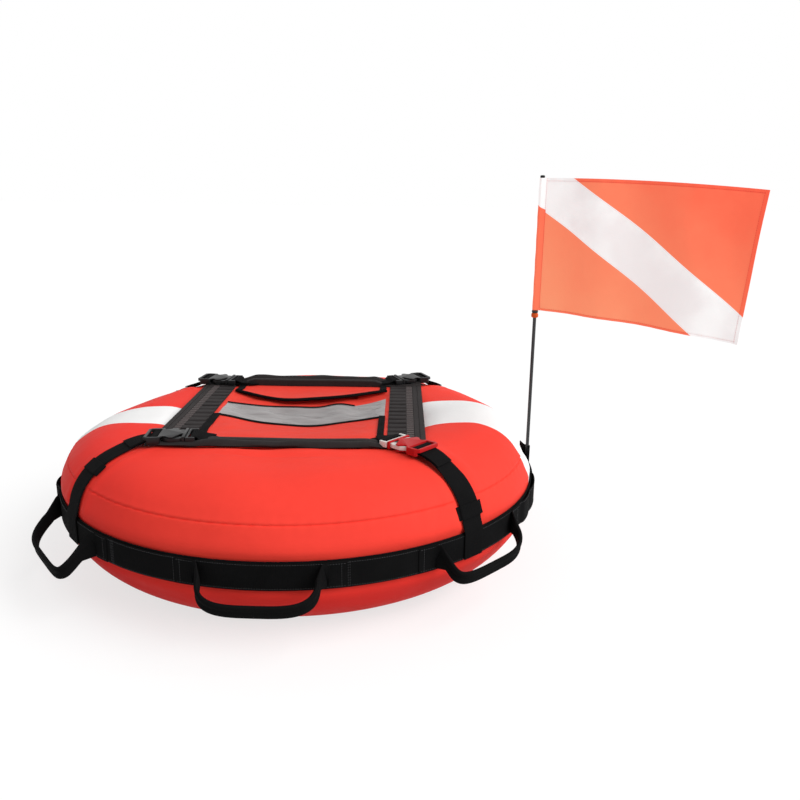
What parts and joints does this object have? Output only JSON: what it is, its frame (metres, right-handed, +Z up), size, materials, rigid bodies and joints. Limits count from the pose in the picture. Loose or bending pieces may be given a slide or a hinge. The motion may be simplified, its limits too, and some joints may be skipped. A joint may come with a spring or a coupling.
{
  "type": "freediving buoy",
  "caption": "Inflated ring buoy in a fabric cover, with a webbing belt, hand loops, a buckled top panel over a storage well, and a flag that turns on a lift-out mast.",
  "frame": {"origin": "on the ring's axis, on the underside of the webbing cross that the buoy stands on", "axes": "+Z up along the ring's axis, -Y to the front rail, +X to the side that carries the mast"},
  "size_m": [1.1043, 0.8992, 0.6322],
  "materials": {
    "red_cover": "coated nylon, satin, lightly wrinkled",
    "black_webbing": "woven polyester webbing, matt",
    "floor_cloth": "open mesh cloth, matt",
    "flag_cloth": "thin nylon with a white diagonal stripe",
    "clear_vinyl": "clear vinyl sheet, wrinkled, over a dark well",
    "tube_rubber": "moulded rubber, satin",
    "collar_rubber": "moulded rubber, satin",
    "valve_plastic": "moulded, matt",
    "black_plastic": "moulded acetal, satin",
    "red_plastic": "moulded acetal, satin",
    "white_plastic": "moulded acetal, satin",
    "orange_plastic": "moulded, satin",
    "mast_rod": "glass-fibre rod, satin"
  },
  "bodies": {
    "buoy": {"inner_tube": "tube_rubber", "valve_stem": "tube_rubber", "cover_top": "red_cover", "cover_side": "red_cover", "cover_bottom": "red_cover", "well_floor": "floor_cloth", "under_cross": "black_webbing", "belt": "black_webbing", "belt_daisy_chain": "black_webbing", "panel_cloth": "red_cover", "window": "clear_vinyl", "pocket": "red_cover", "pocket_binding": "black_webbing", "side_band_left": "black_webbing", "side_band_right": "black_webbing", "rail_front": "black_webbing", "rail_rear": "black_webbing", "buckle_front_left_female": "black_plastic", "buckle_front_left_male": "black_plastic", "buckle_front_right_female": "red_plastic", "buckle_front_right_male": "white_plastic", "buckle_rear_right_female": "black_plastic", "buckle_rear_right_male": "black_plastic", "buckle_rear_left_female": "black_plastic", "buckle_rear_left_male": "black_plastic", "strap_front_left": "black_webbing", "strap_front_right": "black_webbing", "strap_rear_right": "black_webbing", "strap_rear_left": "black_webbing", "strap_keeper_front_left": "black_webbing", "strap_keeper_front_right": "black_webbing", "strap_keeper_rear_right": "black_webbing", "strap_keeper_rear_left": "black_webbing", "mast_loop": "black_webbing", "mast_strip": "black_webbing", "mast_pocket": "black_webbing"},
    "mast": {"mast": "mast_rod", "mast_tip": "mast_rod", "mast_collar": "collar_rubber", "mast_stop": "orange_plastic"},
    "flag": {"flag": "flag_cloth", "flag_sleeve": "flag_cloth"},
    "flap": {"flap": "red_cover", "flap_binding": "black_webbing"},
    "valve_cap": {"valve_cap": "valve_plastic"},
    "loop_front": {"loop_front": "black_webbing"},
    "loop_front_right": {"loop_front_right": "black_webbing"},
    "loop_rear_right": {"loop_rear_right": "black_webbing"},
    "loop_rear": {"loop_rear": "black_webbing"},
    "loop_rear_left": {"loop_rear_left": "black_webbing"},
    "loop_front_left": {"loop_front_left": "black_webbing"},
    "front_left_prong_a": {"buckle_front_left_prong_a": "black_plastic"},
    "front_left_prong_b": {"buckle_front_left_prong_b": "black_plastic"},
    "front_right_prong_a": {"buckle_front_right_prong_a": "white_plastic"},
    "front_right_prong_b": {"buckle_front_right_prong_b": "white_plastic"},
    "rear_right_prong_a": {"buckle_rear_right_prong_a": "black_plastic"},
    "rear_right_prong_b": {"buckle_rear_right_prong_b": "black_plastic"},
    "rear_left_prong_a": {"buckle_rear_left_prong_a": "black_plastic"},
    "rear_left_prong_b": {"buckle_rear_left_prong_b": "black_plastic"}
  },
  "joints": [
    {"name": "mast_lift", "type": "slide", "parent": "buoy", "child": "mast", "axis": [0, 0, 1], "range_m": [0, 0.08]},
    {"name": "flag_swivel", "type": "hinge", "parent": "mast", "child": "flag", "pos_m": [0.40663, 0.04993, 0.5], "axis": [0, 0, 1], "continuous": true},
    {"name": "flap_open", "type": "hinge", "parent": "buoy", "child": "flap", "pos_m": [0, 0.154, 0.2285], "axis": [-1, 0, 0], "range_deg": [0, 110]},
    {"name": "valve_cap_turn", "type": "hinge", "parent": "buoy", "child": "valve_cap", "pos_m": [0.05692, 0.13742, 0.1204], "axis": [-0.3827, -0.9239, 0], "range_deg": [0, 720]},
    {"name": "loop_front_swing", "type": "hinge", "parent": "buoy", "child": "loop_front", "pos_m": [-0.01052, -0.40165, 0.1144], "axis": [-0.9997, 0.0262, 0], "range_deg": [-35, 110]},
    {"name": "loop_front_right_swing", "type": "hinge", "parent": "buoy", "child": "loop_front_right", "pos_m": [0.28902, -0.2791, 0.1144], "axis": [-0.6947, -0.7193, 0], "range_deg": [-35, 110]},
    {"name": "loop_rear_right_swing", "type": "hinge", "parent": "buoy", "child": "loop_rear_right", "pos_m": [0.28902, 0.2791, 0.1144], "axis": [0.6947, -0.7193, 0], "range_deg": [-35, 110]},
    {"name": "loop_rear_swing", "type": "hinge", "parent": "buoy", "child": "loop_rear", "pos_m": [0.01052, 0.40165, 0.1144], "axis": [0.9997, -0.0262, 0], "range_deg": [-35, 110]},
    {"name": "loop_rear_left_swing", "type": "hinge", "parent": "buoy", "child": "loop_rear_left", "pos_m": [-0.31661, 0.24736, 0.1144], "axis": [0.6157, 0.788, 0], "range_deg": [-35, 110]},
    {"name": "loop_front_left_swing", "type": "hinge", "parent": "buoy", "child": "loop_front_left", "pos_m": [-0.31661, -0.24736, 0.1144], "axis": [-0.6157, 0.788, 0], "range_deg": [-35, 110]},
    {"name": "front_left_squeeze_a", "type": "hinge", "parent": "buoy", "child": "front_left_prong_a", "pos_m": [-0.15235, -0.20032, 0.2363], "axis": [0, 0, -1], "range_deg": [0, 7], "stiffness_Nm_per_rad": 0.3},
    {"name": "front_left_squeeze_b", "type": "hinge", "parent": "buoy", "child": "front_left_prong_b", "pos_m": [-0.15523, -0.16744, 0.2363], "axis": [0, 0, 1], "range_deg": [0, 7], "stiffness_Nm_per_rad": 0.3},
    {"name": "front_right_squeeze_a", "type": "hinge", "parent": "buoy", "child": "front_right_prong_a", "pos_m": [0.17699, -0.18474, 0.2363], "axis": [0, 0, -1], "range_deg": [0, 7], "stiffness_Nm_per_rad": 0.3},
    {"name": "front_right_squeeze_b", "type": "hinge", "parent": "buoy", "child": "front_right_prong_b", "pos_m": [0.15578, -0.21002, 0.2363], "axis": [0, 0, 1], "range_deg": [0, 7], "stiffness_Nm_per_rad": 0.3},
    {"name": "rear_right_squeeze_a", "type": "hinge", "parent": "buoy", "child": "rear_right_prong_a", "pos_m": [0.15909, 0.22119, 0.2363], "axis": [0, 0, -1], "range_deg": [0, 7], "stiffness_Nm_per_rad": 0.3},
    {"name": "rear_right_squeeze_b", "type": "hinge", "parent": "buoy", "child": "rear_right_prong_b", "pos_m": [0.17251, 0.19104, 0.2363], "axis": [0, 0, 1], "range_deg": [0, 7], "stiffness_Nm_per_rad": 0.3},
    {"name": "rear_left_squeeze_a", "type": "hinge", "parent": "buoy", "child": "rear_left_prong_a", "pos_m": [-0.16523, 0.16828, 0.2363], "axis": [0, 0, -1], "range_deg": [0, 7], "stiffness_Nm_per_rad": 0.3},
    {"name": "rear_left_squeeze_b", "type": "hinge", "parent": "buoy", "child": "rear_left_prong_b", "pos_m": [-0.16064, 0.20096, 0.2363], "axis": [0, 0, 1], "range_deg": [0, 7], "stiffness_Nm_per_rad": 0.3}
  ],
  "couplings": [
    {"joint": "front_left_squeeze_b", "follows": "front_left_squeeze_a", "ratio": 1},
    {"joint": "front_right_squeeze_b", "follows": "front_right_squeeze_a", "ratio": 1},
    {"joint": "rear_right_squeeze_b", "follows": "rear_right_squeeze_a", "ratio": 1},
    {"joint": "rear_left_squeeze_b", "follows": "rear_left_squeeze_a", "ratio": 1}
  ]
}
